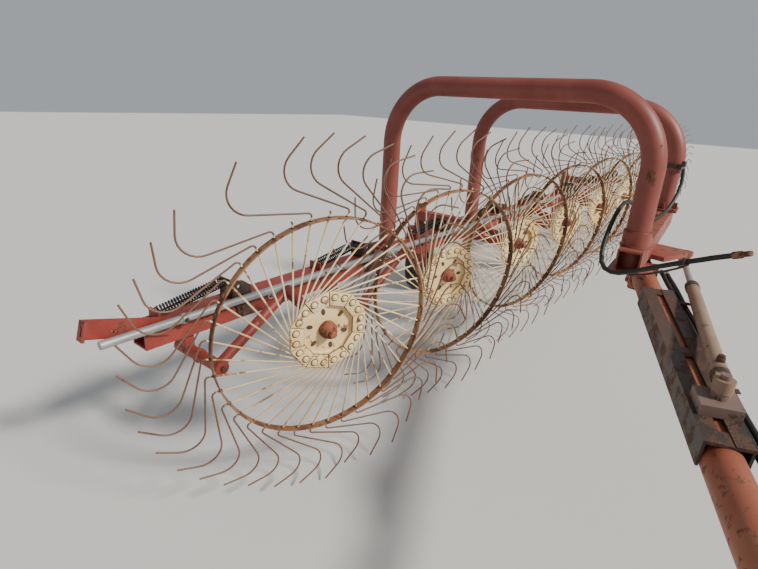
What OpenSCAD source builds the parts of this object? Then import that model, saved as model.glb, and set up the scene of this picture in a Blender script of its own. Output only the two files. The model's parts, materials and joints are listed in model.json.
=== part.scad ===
// Trailed finger wheel hay rake: one wing of eight finger wheels on a beam behind them, carried by two
// bent tube arches from a short inner beam, which turns on a pin at the rear of a long tongue.
// X runs along the rake beam, away from wheel 1, and the finger wheels face -Y. Z is up from the floor.

/* [Finger wheels] */
// Distance between two finger wheels along the beam
wheel_pitch = 903; // [860:1:960]
// Turn of each finger wheel out of the beam's line, in degrees
wheel_turn = 19; // [15:0.5:22]
// Lean of each finger wheel's top toward the front, in degrees
wheel_lean = 3.5; // [0:0.5:5]
// Height of the hubs over the floor
hub_h = 765; // [762:1:800]
// Outer radius of the ring that the fingers pass through
ring_r = 453; // [430:1:460]
// Width of the ring's band, along the wheel's axis
ring_w = 30; // [20:1:36]
// Thickness of the ring's band
ring_t = 6; // [4:0.5:8]
// Thickness of a finger's wire
finger_d = 7; // [5:0.5:8]
// Number of fingers on one wheel
finger_count = 40; // [20:10:40]
// Radius of the circle that the straight part of every finger touches
root_r = 145; // [138:1:150]
// Length of the straight run outside the ring
finger_run = 210; // [190:1:220]
// Radius of the finger's outer curve
finger_curve_r = 72; // [60:1:80]
// Turn of the finger's outer curve, in degrees
finger_curve = 109; // [90:1:115]
// Length of the straight tip
finger_tip = 78; // [40:1:82]

/* [Hubs] */
// Radius of the ten sided clamp ring, at its corners
clamp_r = 168; // [163:1:175]
// Thickness of the clamp plates
clamp_t = 6; // [4:0.5:8]
// Radius of the dished disc inside the clamp ring
disc_r = 112; // [105:1:115]
// Depth of the disc behind the clamp plates
dish_depth = 20; // [14:1:26]
// Radius of the bearing housing
housing_r = 42; // [36:1:48]
// Length of the hub cap in front of the disc
cap_len = 62; // [50:1:70]
// Radius of the spindle
spindle_r = 17.5; // [14:0.5:20]

/* [Rake beam] */
// Width and height of the square rake beam
beam_w = 100; // [90:1:110]
// Wall of the square tubes
beam_wall = 8; // [5:0.5:10]
// Distance of the beam's middle behind the hubs
beam_y = 600; // [580:1:640]
// Depth of the beam's top below the hubs
beam_drop = 24; // [18:1:40]
// Length of the beam before wheel 1
beam_lead = 450; // [430:1:500]
// Length of the bar on the beam's end
end_bar_len = 350; // [320:5:380]
// Height of the bar on the beam's end
end_bar_h = 74; // [60:1:80]
// Slope of the bar on the beam's end, in degrees
end_bar_slope = 16; // [8:1:20]

/* [Springs and lift gear] */
// Distance of a spring's outer end before its wheel
spring_lead = 370; // [350:5:400]
// Length of a spring over its end loops
spring_len = 330; // [310:5:340]
// Outer diameter of a spring
spring_d = 32; // [26:1:36]
// Thickness of a spring's wire
spring_wire = 8; // [6:0.5:9]
// Height of a spring's outer end over the beam
spring_low = 26; // [24:1:40]
// Height of a spring's inner end over the beam
spring_high = 78; // [60:1:90]
// Outer diameter of the lift pipe
pipe_d = 34; // [28:1:38]
// Height of the pipe's middle over the beam's top
pipe_up = 4; // [0:1:10]
// Thickness of a chain link's wire
link_d = 6; // [5:0.5:7]
// Length of one chain link
link_len = 34; // [30:1:40]
// Number of links in each lift chain
link_count = 6; // [5:1:8]
// Length of the beam past the last wheel
beam_tail = 250; // [200:1:400]

/* [Crank arms] */
// Distance of an arm's pivot before its wheel
arm_reach = 250; // [220:1:280]
// Depth of an arm's pivot below its hub
arm_drop = 205; // [195:1:230]
// Distance of the arm behind the hub
arm_back = 400; // [380:1:420]
// Diameter of the arm's tube
arm_d = 45; // [38:1:50]
// Diameter of the pivot's sleeve
sleeve_d = 70; // [62:1:76]

/* [Arches] */
// Outer diameter of the arch tube
arch_d = 100; // [96:1:108]
// Wall of the arch tube
arch_wall = 6; // [4:0.5:8]
// Distance of the near arch's foot past wheel 1
arch_x = 1153; // [1140:1:1170]
// Distance between the two arches
arch_gap = 1091; // [1070:1:1110]
// Span of the near arch between its two feet
near_span = 1400; // [1380:1:1420]
// Span of the far arch between its two feet
far_span = 1320; // [1300:1:1340]
// Height of the near arch's middle line over the hubs
near_top = 926; // [910:1:940]
// Height of the far arch's middle line over the hubs
far_top = 879; // [870:1:900]
// Radius of the arch's bends
arch_bend = 311; // [295:1:325]
// Angle between the beam and the plane of an arch, in degrees
arch_turn = 91.5; // [90:0.5:93]
// Height of the near arch's socket over the hubs
socket_up = 360; // [340:1:380]
// Height over the hubs at which the far arch's leg changes to a thinner tube
joint_up = 545; // [530:1:548]
// Diameter of that thinner tube
stub_d = 80; // [74:1:84]

/* [Inner beam and pivot] */
// Height of the inner beam's top over the hubs
inner_up = 295; // [285:1:305]
// Length of the inner beam before the near arch
inner_lead = 115; // [100:1:140]
// Length of the inner beam past the far arch
inner_tail = 150; // [100:1:200]
// Distance of the pivot pin past the near arch, along the inner beam
pivot_along = 410; // [390:1:430]
// Height of the pivot's middle over the hubs
pivot_up = 95; // [88:1:98]
// Diameter of the pivot sleeve
pivot_sleeve_d = 96; // [90:1:110]
// Radius of the pivot pin
pivot_r = 22; // [18:0.5:25]

/* [Tongue] */
// Outer diameter of the tongue's tube
tongue_d = 108; // [104:1:115]
// Length of the tongue from the pivot to the hitch pin
tongue_len = 3500; // [3300:10:3700]
// Angle between the tongue and the rake beam, in degrees
tongue_turn = 21; // [18:0.5:23]
// Fall of the tongue toward the hitch, in degrees
tongue_fall = 4; // [3:0.25:4.5]
// Radius of the hitch pin's hole
hitch_pin_r = 16; // [12:0.5:20]
// Distance of the jack from the hitch pin
jack_set = 620; // [560:1:700]
// Distance of the two rails from the pivot pin
rail_start = 440; // [420:5:460]
// Length of the two rails
rail_len = 1040; // [1000:10:1100]
// Outer diameter of the two hoses along the tongue
hose_d = 20; // [16:0.5:22]

/* [Cylinder] */
// Outer diameter of the barrel
barrel_d = 50; // [46:1:52]
// Length of the barrel
barrel_len = 920; // [880:1:960]
// Diameter of the rod
rod_d = 28; // [24:1:32]
// Distance of the rod's pin beside the pivot pin
lever_side = 210; // [200:1:220]
// Distance of the rod's pin behind the pivot pin
lever_back = 40; // [30:1:60]
// Distance from the pivot pin to the barrel's pin, along the tongue
anchor_x = 1310; // [1290:1:1330]
// Distance of the barrel's pin beside the tongue's middle
anchor_side = 10; // [0:1:20]

/* [Carrying wheels] */
// Outer diameter of the tyres
tyre_d = 560; // [540:1:600]
// Width of the tyres
tyre_w = 160; // [140:1:170]
// Trail of the casters
trail = 150; // [130:1:170]
// Distance of the casters behind the beam's middle
caster_y = 505; // [500:1:540]
// Distance of the first caster past wheel 1
caster_1_x = 2290; // [2200:10:2350]
// Distance of the second caster past wheel 1
caster_2_x = 5870; // [5800:10:5900]

/* [Hidden] */
wheels = 8;
seat = 0.3; // gap between two bolted or hooked pieces
run_gap = 0.05; // gap round a shaft
move_gap = 6; // gap beside a piece that turns

// Finger in the wheel's own plane: a spoke through the ring, an elbow, a run, a curve and a tip
spoke_turn = asin(root_r / ring_r);
spoke_len = sqrt(ring_r * ring_r - root_r * root_r);
elbow_r = 14;
elbow_out = 14; // spoke length outside the ring before the elbow
elbow_turn = 95;
elbow_parts = 3;
curve_parts = 5;
finger_step = 360 / finger_count;
elbow_part = elbow_turn / elbow_parts;
curve_part = finger_curve / curve_parts;
finger_lens = concat(
  [spoke_len + elbow_out],
  [for (i = [1:elbow_parts]) 2 * elbow_r * sin(elbow_part / 2)],
  [finger_run],
  [for (i = [1:curve_parts]) 2 * finger_curve_r * sin(curve_part / 2)],
  [finger_tip]
);
finger_turns = concat(
  [for (i = [0:elbow_parts]) i % elbow_parts == 0 ? elbow_part / 2 : elbow_part],
  [for (i = [0:curve_parts]) i % curve_parts == 0 ? -curve_part / 2 : -curve_part]
);
finger_ways = [for (i = 0, a = -spoke_turn; i < len(finger_lens);
  a = a + (i < len(finger_turns) ? finger_turns[i] : 0), i = i + 1) a];
finger_start = [ring_r, 0] - spoke_len * [cos(spoke_turn), -sin(spoke_turn)];
finger_steps = [for (i = [0:len(finger_lens) - 1])
  finger_lens[i] * [cos(finger_ways[i]), sin(finger_ways[i])]];
finger_path = [for (i = 0, q = finger_start; i <= len(finger_steps);
  q = q + (i < len(finger_steps) ? finger_steps[i] : [0, 0]), i = i + 1) q];

// Point i of the path, moved aside by d
function aside(i, d) =
  let (n = len(finger_turns), t = i == 0 || i > n ? 0 : finger_turns[i - 1],
    a = finger_ways[min(i, n)] - t / 2 + 90)
  finger_path[i] + d / cos(t / 2) * [cos(a), sin(a)];

finger_points = concat(
  [for (i = [0:len(finger_lens)]) aside(i, finger_d / 2)],
  [for (i = [len(finger_lens):-1:0]) aside(i, -finger_d / 2)]
);

// Clamp ring
clamp_sides = 10;
clamp_flat = clamp_r * cos(180 / clamp_sides);
plate_front = finger_d / 2 + seat + clamp_t;
disc_z = plate_front - dish_depth;
disc_t = 6;
housing_back = -62;
bore_end = 4;

// Beam and arms
beam_z = hub_h - beam_drop - beam_w / 2;
beam_x0 = -beam_lead;
beam_x1 = (wheels - 1) * wheel_pitch + beam_tail;

// Float springs and lift gear, on top of the beam
beam_top = beam_z + beam_w / 2;
spring_hook = 20; // closed loop at each end of a spring
spring_pitch = 13; // distance between two coils
spring_apart = 40; // distance between the two springs of a wheel
spring_slope = asin((spring_high - spring_low) / spring_len);
spring_run = spring_len * cos(spring_slope);
lug_t = 10;
lug_w = 2 * spring_apart - 4;
bracket_len = 100;
bracket_t = 10;
bracket_up = 50; // height of a bracket over the beam
pipe_y = beam_y - beam_w / 2 - 34;
link_r = 0.32 * link_len; // radius of a link's ends, at the middle of its wire
chain_start = 150; // distance of a chain's first link past its wheel

// Arches and inner beam
plate_t = 12;
foot_len = 158; // size of an arch's foot plate across the beam
foot_front = 63; // distance of its front edge, beside the lift pipe, from the leg's middle
arch_foot_z = beam_top + seat + plate_t;
near_end = [arch_x + near_span * cos(arch_turn), beam_y - near_span * sin(arch_turn)];
far_end = [arch_x + arch_gap + far_span * cos(arch_turn), beam_y - far_span * sin(arch_turn)];
inner_turn = atan2(far_end[1] - near_end[1], far_end[0] - near_end[0]);
inner_len = norm(far_end - near_end);
inner_top = hub_h + inner_up;
inner_z = inner_top - beam_w / 2;
inner_low = inner_z - beam_w / 2;
socket_d = arch_d + 16;
pivot = [
  near_end[0] + pivot_along * cos(inner_turn),
  near_end[1] + pivot_along * sin(inner_turn),
  hub_h + pivot_up
];
pivot_h = 130; // length of the pivot sleeve
fork_t = 14; // thickness of the plate under the pivot sleeve
boss_d = 100;
web_x = 95; // distance of the web that carries this plate
clear_z = pivot_h / 2 + move_gap; // half the height at the pivot that the wing keeps clear

// Tongue
hitch_at = [
  pivot[0] - tongue_len * cos(tongue_fall) * cos(tongue_turn),
  pivot[1] - tongue_len * cos(tongue_fall) * sin(tongue_turn),
  pivot[2] - tongue_len * sin(tongue_fall)
];
hitch_u = tongue_len * cos(tongue_fall); // place of the hitch pin along the level tongue
hitch_z = -tongue_len * sin(tongue_fall); // height of the hitch pin's middle, from the pivot
hitch_end = 50; // radius of the clevis round the hitch pin
rail_top = tongue_d / 2 + 11; // height of the rails' top flanges over the tube's middle
rail_t = 8;
rail_flange = 40;
jack_tube_d = 70;
jack_tube_h = 520;
jack_low = 220; // depth of the jack's tube under the tongue's middle
jack_leg_d = 56;
foot_d = 180;
jack_side = tongue_d / 2 + 60;
jack_x = (tongue_len - jack_set) * cos(tongue_fall); // place of the jack along the level tongue
jack_z = -(tongue_len - jack_set) * sin(tongue_fall); // height of the tongue's middle there, from the pivot

// Cylinder, beside the tongue
cyl_z = 47; // height over the pivot's middle
cyl_span = norm([anchor_x + lever_back, lever_side - anchor_side]); // distance between its two pins
cyl_turn = atan2(anchor_side - lever_side, anchor_x + lever_back); // its angle to the tongue
rod_in = 180; // length of the rod inside the barrel
rod_len = cyl_span - barrel_len - 20 + rod_in;
eye_r = 14;
eye_w = 40;
eye_gap = 2; // gap over and below the eyes
lever_z = cyl_z + eye_w / 2 + 12; // height of the lever's bottom over the pivot's middle
lever_t = inner_low + 2 - pivot[2] - lever_z;
anchor_h = 35;

// Casters
hub_half = 90;
wheel_r = tyre_d / 2;
tread_round = 20;
stem_r = 22;
axle_r = 12;
crown_z = tyre_d + 20;

// Hoses along the tongue, held on its front rail, in the tongue's own frame
run_start = 160;
run_end = 2640;
run_y = tongue_d / 2 + seat + rail_t + hose_d / 2 + 1;
run_z = 40;
run_step = 124;
clip_t = 4;

// Loose hose in the wing's frame: from the far arch's joint along the inner beam, round the near arch's
// inner foot and over the cylinder
loose_points = [
  [2150, -775, 1330], [2143, -784, 1285], [2125, -790, 1235], [2092, -788, 1182], [2048, -781, 1135],
  [1995, -770, 1098], [1930, -761, 1078], [1860, -755, 1072], [1785, -752, 1073], [1710, -749, 1078],
  [1640, -744, 1089], [1570, -738, 1106], [1500, -731, 1130], [1435, -724, 1158], [1375, -717, 1188],
  [1320, -711, 1212], [1265, -705, 1225], [1213, -700, 1224], [1165, -696, 1207], [1123, -692, 1177],
  [1088, -690, 1140], [1058, -689, 1100], [1033, -690, 1060], [1010, -695, 1023], [988, -707, 992],
  [969, -729, 972], [956, -760, 966], [945, -794, 972], [933, -830, 988], [919, -867, 1008],
  [903, -905, 1030], [887, -945, 1053], [870, -987, 1076], [852, -1030, 1099], [834, -1073, 1121],
  [816, -1112, 1142], [799, -1143, 1158], [783, -1168, 1171]
];

// The frame's origin is under the middle of the whole machine's box
reel_reach = max([for (i = [0:finger_count - 1]) for (q = finger_points)
  (q[0] * cos(i * finger_step) - q[1] * sin(i * finger_step)) * cos(wheel_turn)
    - (q[0] * sin(i * finger_step) + q[1] * cos(i * finger_step)) * sin(wheel_lean) * sin(wheel_turn)]);
box_x0 = hitch_at[0] - hitch_end;
box_x1 = (wheels - 1) * wheel_pitch + reel_reach + finger_d / 2 * sin(wheel_turn) * cos(wheel_lean);
box_y0 = hitch_at[1] - hitch_end;
box_y1 = beam_y + caster_y + (trail + wheel_r - tread_round) * sin(tongue_turn)
  + tyre_w / 2 * cos(tongue_turn);
shift = [-(box_x0 + box_x1) / 2, -(box_y0 + box_y1) / 2, 0];

// Cylinder from p to q
module strut(p, q, d) {
  v = q - p;
  l = norm(v);
  translate(p) rotate([0, acos(v[2] / l), atan2(v[1], v[0])]) cylinder(d = d, h = l, $fn = 48);
}

// Square tube along +X with open ends
module square_tube(l, w, wall) {
  difference() {
    translate([0, -w / 2, -w / 2]) cube([l, w, w]);
    translate([-1, -w / 2 + wall, -w / 2 + wall]) cube([l + 2, w - 2 * wall, w - 2 * wall]);
  }
}

// Inverted U of round bar in the XZ plane, from foot a at x = 0 to foot b at x = span
module bow(a, b, span, top, bend, d) {
  for (foot = [[0, a], [span, b]])
    translate([foot[0], 0, foot[1]]) cylinder(d = d, h = top - bend - foot[1], $fn = 96);
  for (side = [0, 1]) translate([side == 0 ? bend : span - bend, 0, top - bend])
    rotate([90, 0, 0]) rotate([0, 0, side == 0 ? 90 : 0])
      rotate_extrude(angle = 90, $fn = 180) translate([bend, 0]) circle(d = d, $fn = 96);
  translate([bend, 0, top]) rotate([0, 90, 0]) cylinder(d = d, h = span - 2 * bend, $fn = 96);
}

// Bolt with a hexagonal head, standing on z = 0, with its shank going down
module bolt(d, grip) {
  cylinder(d = 1.8 * d, h = 0.65 * d, $fn = 6);
  translate([0, 0, -grip]) cylinder(d = d, h = grip + 1, $fn = 24);
}

// The wing's frame, at the foot of wheel 1
module wing() {
  translate(shift) children();
}

// The inner beam's frame, under the near arch's inner end, with +X along the beam
module inner_frame() {
  wing() translate([near_end[0], near_end[1], 0]) rotate([0, 0, inner_turn]) children();
}

// The tongue's frame, at the pivot, with +X toward the hitch and the tongue's fall left out
module tongue_level() {
  translate(shift) translate(pivot) rotate([0, 0, 180 + tongue_turn]) children();
}

// The tongue's own frame, with +X down along its tube
module tongue_frame() {
  tongue_level() rotate([0, tongue_fall, 0]) children();
}

// The cylinder's frame, at the rod's pin, with +X toward the barrel's pin
module cylinder_frame() {
  tongue_level() translate([-lever_back, lever_side, cyl_z]) rotate([0, 0, cyl_turn]) children();
}

// A finger wheel's frame: its plane is XY, and +Z is its axis toward the front
module wheel_frame(k) {
  wing() translate([(k - 1) * wheel_pitch, 0, hub_h]) rotate([0, 0, -wheel_turn])
    rotate([90 + wheel_lean, 0, 0]) children();
}

module clamp_outline() {
  part = 360 / clamp_sides;
  polygon([for (i = [0:clamp_sides - 1]) clamp_r * [cos(i * part), sin(i * part)]]);
}

module reel(k) {
  slot = finger_d + 2 * seat;
  color("saddlebrown") wheel_frame(k) {
    translate([0, 0, -finger_d / 2]) linear_extrude(finger_d)
      for (i = [0:finger_count - 1]) rotate(i * finger_step) polygon(finger_points);
    translate([0, 0, -finger_d / 2 - clamp_t]) linear_extrude(clamp_t + finger_d / 2) difference() {
      clamp_outline();
      circle(disc_r + seat, $fn = 120);
    }
    difference() {
      cylinder(r = ring_r, h = ring_w, center = true, $fn = 180);
      cylinder(r = ring_r - ring_t, h = ring_w + 2, center = true, $fn = 180);
      for (i = [0:finger_count - 1]) rotate(i * finger_step) translate([ring_r, 0, 0])
        rotate(-spoke_turn) cube([40, slot, slot], center = true);
    }
  }
}

module hub(k) {
  hole_ring = 78;
  bolt_ring = clamp_flat - 20;
  color("wheat") wheel_frame(k) difference() {
    union() {
      translate([0, 0, finger_d / 2 + seat]) linear_extrude(clamp_t) difference() {
        clamp_outline();
        circle(disc_r - disc_t, $fn = 120);
      }
      for (i = [0:clamp_sides - 1]) rotate((i + 0.5) * 360 / clamp_sides) for (s = [-1, 1])
        translate([bolt_ring, s * 25, plate_front - 1]) cylinder(d = 22, h = 9, $fn = 6);
      difference() {
        translate([0, 0, disc_z - disc_t])
          cylinder(r = disc_r, h = plate_front - disc_z + disc_t, $fn = 120);
        translate([0, 0, disc_z]) cylinder(r = disc_r - disc_t, h = 60, $fn = 120);
      }
      translate([0, 0, housing_back]) cylinder(r = housing_r, h = disc_z - housing_back, $fn = 96);
      translate([0, 0, disc_z]) cylinder(r1 = 36, r2 = 26, h = cap_len - 20, $fn = 96);
      translate([0, 0, disc_z + cap_len - 20]) cylinder(r = 14, h = 20, $fn = 48);
    }
    for (i = [0:5]) rotate(i * 60) translate([hole_ring, 0, disc_z - disc_t - 1])
      cylinder(r = 11, h = disc_t + 2, $fn = 48);
    translate([0, 0, housing_back - 1])
      cylinder(r = spindle_r + run_gap, h = bore_end - housing_back + 1, $fn = 96);
  }
}

module crank_arms() {
  shoulder_r = spindle_r + 8; // the spindle behind the hub
  hub_back = arm_back
    * [sin(wheel_turn) * cos(wheel_lean), cos(wheel_turn) * cos(wheel_lean), sin(wheel_lean)];
  color("firebrick") for (k = [1:wheels]) {
    wheel_frame(k) translate([0, 0, -arm_back]) {
      cylinder(r = spindle_r, h = arm_back + bore_end - 1, $fn = 96);
      cylinder(r = shoulder_r, h = arm_back + housing_back - move_gap, $fn = 96);
    }
    wing() translate([(k - 1) * wheel_pitch, 0, hub_h]) {
      strut([-arm_reach, hub_back[1], -arm_drop], hub_back, arm_d);
      translate([-arm_reach, hub_back[1] - 30, -arm_drop]) rotate([-90, 0, 0])
        cylinder(d = sleeve_d - 16, h = beam_y + beam_w / 2 + 10 - hub_back[1] + 30, $fn = 72);
      translate([-arm_reach - 20, beam_y - 30, -arm_drop])
        cube([40, 60, beam_z - beam_w / 2 - seat - hub_h + arm_drop]);
    }
  }
}

// Tension spring along +X from the middle of one end loop to the other's
module spring() {
  coils = floor((spring_len - 2 * spring_hook) / spring_pitch);
  body = coils * spring_pitch;
  translate([(spring_len - body) / 2, 0, 0]) rotate([0, 90, 0]) rotate_extrude($fn = 48)
    polygon(concat([[0, 0]], [for (i = [0:2 * coils])
      [spring_d / 2 - (i % 2 == 0 ? spring_wire / 2 : 0), i * spring_pitch / 2]], [[0, body]]));
  rotate([0, 90, 0]) cylinder(d = spring_wire, h = spring_len, $fn = 24);
}

module float_springs() {
  color("dimgray") wing() for (k = [1:wheels]) for (s = [-1, 1])
    translate([(k - 1) * wheel_pitch - spring_lead, beam_y + s * spring_apart / 2, beam_top + spring_low])
      rotate([0, -spring_slope, 0]) spring();
}

module rake_beam() {
  lug_x = -spring_lead - seat - lug_t;
  color("brown") wing() {
    translate([beam_x0, beam_y, beam_z]) square_tube(beam_x1 - beam_x0, beam_w, beam_wall);
    for (k = [1:wheels]) translate([(k - 1) * wheel_pitch, beam_y, beam_top]) {
      translate([lug_x, -lug_w / 2, -1]) cube([lug_t, lug_w, spring_low + spring_d / 2]);
      if (k > 1) translate([lug_x - 2, pipe_y - beam_y - pipe_d / 2, pipe_up - pipe_d / 2 - seat - 12])
        cube([14, beam_y - beam_w / 2 + 4 - pipe_y + pipe_d / 2, 12]);
    }
  }
}

module end_bar() {
  color("firebrick") wing() translate([beam_x0 - 239, beam_y - beam_w / 2 - 12 - seat, hub_h + 14])
    rotate([0, end_bar_slope, 0]) difference() {
      union() {
        cube([end_bar_len, 12, end_bar_h]);
        translate([0, -30, 0]) cube([10, 36, end_bar_h]);
      }
      translate([-1, -20, end_bar_h / 2 - 18]) cube([12, 14, 36]);
      for (x = [118, 132]) translate([x, -1, 26]) rotate([-90, 0, 0]) cylinder(d = 9, h = 14, $fn = 24);
    }
}

// Bracket of a wheel's lift gear: a plate in front of the beam and a lug across it, which takes the springs
module spring_brackets() {
  x0 = spring_run - spring_lead + seat;
  front = -beam_w / 2 - seat - bracket_t;
  color("darkslategray") wing() for (k = [1:wheels])
    translate([(k - 1) * wheel_pitch + x0, beam_y, beam_top]) {
      translate([0, front, 0]) rotate([90, 0, 0]) mirror([0, 0, 1]) linear_extrude(bracket_t) difference() {
        polygon([[0, 30], [0, bracket_up + 25], [24, bracket_up + 38], [60, bracket_up + 30],
          [bracket_len, bracket_up], [bracket_len, -90], [30, -90]]);
        translate([bracket_len - 60, pipe_up]) circle(d = pipe_d + 2 * seat, $fn = 48);
        translate([34, bracket_up + 8]) circle(d = 18, $fn = 32);
      }
      translate([0, front + 2, 30]) cube([lug_t, lug_w / 2 - front - 2, bracket_up + 10]);
      translate([0, -lug_w / 2, seat]) cube([lug_t, lug_w, 40]);
    }
}

module lift_pipe() {
  color("silver") wing() translate([beam_x0 - 180, pipe_y, beam_top + pipe_up]) rotate([0, 90, 0])
    cylinder(d = pipe_d, h = beam_x1 - beam_x0 + 80, $fn = 48);
}

// Outline of a chain link, d away from the middle of its wire
module link_outline(d) {
  r = link_r + d;
  half = link_len / 2 - link_d / 2 - link_r;
  polygon([for (side = [1, -1]) for (a = [-67.5:45:67.5]) side * [half + r * cos(a), r * sin(a)]]);
}

// The lift chains hang under the pipe, every other link on edge
module lift_chains() {
  flat = cos(22.5); // share of its radius at which a link's eight sided end has its flats
  step = link_len - link_d - 2 * link_r + 2 * (link_r - link_d / 2) * flat - seat;
  z = beam_top + pipe_up - pipe_d / 2 - seat - (link_r + link_d / 2) * flat;
  color("silver") wing() for (k = [1:wheels]) for (i = [0:link_count - 1])
    translate([(k - 1) * wheel_pitch + chain_start + i * step, pipe_y, z])
      rotate([i % 2 == 0 ? 90 : 0, 0, 0]) linear_extrude(link_d, center = true) difference() {
        link_outline(link_d / 2);
        link_outline(-link_d / 2);
      }
}

// Plate of that length and width with a bolt at each corner
module foot_plate(l, w) {
  bolt_in = 18; // distance of the bolts from the plate's edges
  translate([-l / 2, -w / 2, 0]) cube([l, w, plate_t]);
  for (x = [-1, 1]) for (y = [-1, 1])
    translate([x * (l / 2 - bolt_in), y * (w / 2 - bolt_in), plate_t]) bolt(14, plate_t - 2);
}

// Arch at x along the beam, with its inner foot at inner_foot and its hollow down to hollow_foot
module arch(x, span, top, inner_foot, hollow_foot) {
  translate(shift) translate([x, beam_y, 0]) rotate([0, 0, -arch_turn]) {
    difference() {
      bow(arch_foot_z - 2, inner_foot, span, hub_h + top, arch_bend, arch_d);
      bow(arch_foot_z - 5, hollow_foot, span, hub_h + top, arch_bend, arch_d - 2 * arch_wall);
    }
    translate([foot_front - foot_len / 2, 0, beam_top + seat]) foot_plate(foot_len, 160);
  }
}

module arch_near() {
  color("indianred") arch(arch_x, near_span, near_top, inner_low + plate_t + seat, inner_low);
}

module arch_far() {
  joint_z = hub_h + joint_up;
  color("indianred") {
    arch(arch_x + arch_gap, far_span, far_top, joint_z, joint_z + 8);
    wing() translate([far_end[0], far_end[1], 0]) {
      translate([0, 0, inner_top + seat + 2]) cylinder(d = stub_d, h = joint_z + 8 - inner_top, $fn = 96);
      translate([0, 0, joint_z - 12]) cylinder(d = arch_d + 8, h = 16, $fn = 96);
      translate([0, 0, inner_top + seat]) rotate([0, 0, inner_turn]) {
        foot_plate(170, 150);
        for (a = [0, 90]) rotate([0, 0, a]) translate([-68, -5, plate_t - 2]) cube([136, 10, 40]);
      }
    }
  }
}

// Plate under the pivot sleeve, with the web and the rib that carry it from the inner beam
module pivot_bracket() {
  low = pivot[2] - clear_z - fork_t;
  tall = inner_low + 2 - low;
  translate([pivot_along, 0, pivot[2] + clear_z])
    cylinder(d = boss_d, h = inner_low + 2 - pivot[2] - clear_z, $fn = 96);
  translate([pivot_along, 0, low]) linear_extrude(fork_t) {
    circle(d = boss_d, $fn = 96);
    translate([0, -44]) square([web_x + 10, 88]);
  }
  translate([pivot_along + web_x, -40, low + 2]) cube([fork_t, 80, tall - 2]);
  translate([pivot_along + web_x + fork_t - 2, 6, low + 6]) rotate([90, 0, 0]) linear_extrude(12)
    polygon([[0, 0], [16, 0], [120, tall - 6], [0, tall - 6]]);
}

// Lever for the rod: a plate under the inner beam, with a boss over the rod's eye
module lever() {
  boss_z = cyl_z + eye_w / 2 + eye_gap;
  tip = [-lever_back, lever_side];
  translate([0, 0, lever_z]) linear_extrude(lever_t) {
    translate(tip) circle(r = 32, $fn = 72);
    polygon([tip + [-25, 8], tip + [25, 8], [150, 70], [100, 0], [-190, 0]]);
  }
  translate([tip[0], tip[1], boss_z]) cylinder(r = 24, h = lever_z + 2 - boss_z, $fn = 72);
}

module inner_beam() {
  socket_top = hub_h + socket_up;
  gusset_y = beam_w / 2 - 4;
  color("firebrick") difference() {
    union() {
      inner_frame() {
        translate([-inner_lead, 0, inner_z])
          square_tube(inner_lead + inner_len + inner_tail, beam_w, beam_wall);
        translate([0, 0, inner_low - 2]) cylinder(d = socket_d, h = socket_top - inner_low + 2, $fn = 96);
        translate([-90, -80, inner_low - 10]) cube([190, 160, plate_t]);
        for (s = [-1, 1]) translate([0, s * gusset_y + plate_t / 2, 0])
          rotate([90, 0, 0]) linear_extrude(plate_t)
            polygon([[24, inner_low + 20], [24, socket_top - 15], [52, socket_top - 15],
              [230, inner_top - 20], [230, inner_low + 20]]);
        pivot_bracket();
      }
      tongue_level() lever();
    }
    inner_frame() {
      translate([0, 0, inner_low + plate_t - 2]) cylinder(d = arch_d + 2 * seat, h = socket_top, $fn = 96);
      translate([pivot_along, 0, pivot[2] - 2 * clear_z])
        cylinder(r = pivot_r + run_gap, h = inner_low - 2 - pivot[2] + 2 * clear_z, $fn = 96);
    }
  }
}

module pivot_pin() {
  low = clear_z + fork_t + 20;
  color("dimgray") tongue_level() {
    translate([0, 0, -low]) cylinder(r = pivot_r, h = low + clear_z + 22, $fn = 96);
    translate([0, 0, -low - 14]) cylinder(r = pivot_r + 12, h = 18, $fn = 6);
  }
}

module tongue_tube() {
  neck_x = 130; // start of the tube
  wall = 8;
  color("orangered") {
    tongue_frame() difference() {
      translate([neck_x + 6, 0, 0]) rotate([0, 90, 0])
        cylinder(d = tongue_d, h = tongue_len - 106 - neck_x, $fn = 96);
      translate([neck_x + 30, 0, 0]) rotate([0, 90, 0])
        cylinder(d = tongue_d - 2 * wall, h = tongue_len, $fn = 96);
    }
    tongue_level() {
      difference() {
        union() {
          translate([0, 0, -pivot_h / 2]) cylinder(d = pivot_sleeve_d, h = pivot_h, $fn = 96);
          translate([20, -36, -pivot_h / 2 + 12]) cube([neck_x - 10, 72, pivot_h - 24]);
        }
        translate([0, 0, -pivot_h]) cylinder(r = pivot_r + run_gap, h = 2 * pivot_h, $fn = 96);
      }
      translate([neck_x, -60, -pivot_h / 2 - 8]) cube([20, 120, pivot_h + 4]);
    }
  }
}

// Two angle irons along the tube, with straps across it
module tongue_rails() {
  side = tongue_d / 2 + seat;
  strap_w = 60;
  clip_z = hose_d / 2 + 2 + seat + clip_t / 2; // height of a clip's middle over the hoses'
  color("dimgray") tongue_frame() {
    for (s = [-1, 1]) {
      translate([rail_start, s > 0 ? side : -side - rail_t, -20]) cube([rail_len, rail_t, rail_top + 20]);
      translate([rail_start, s > 0 ? side - rail_flange : -side - rail_t, rail_top - rail_t])
        cube([rail_len, rail_flange + rail_t, rail_t]);
    }
    for (x = [0, rail_len / 2, rail_len - strap_w]) translate([rail_start + x, -side - 1, side])
      cube([strap_w, 2 * side + 2, rail_t]);
    for (x = [90, 0.7 * rail_len], z = [-1, 1])
      translate([rail_start + x, side + rail_t - 1, run_z + z * clip_z - clip_t / 2])
        cube([24, 2 * hose_d + 8, clip_t]);
  }
}

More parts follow.
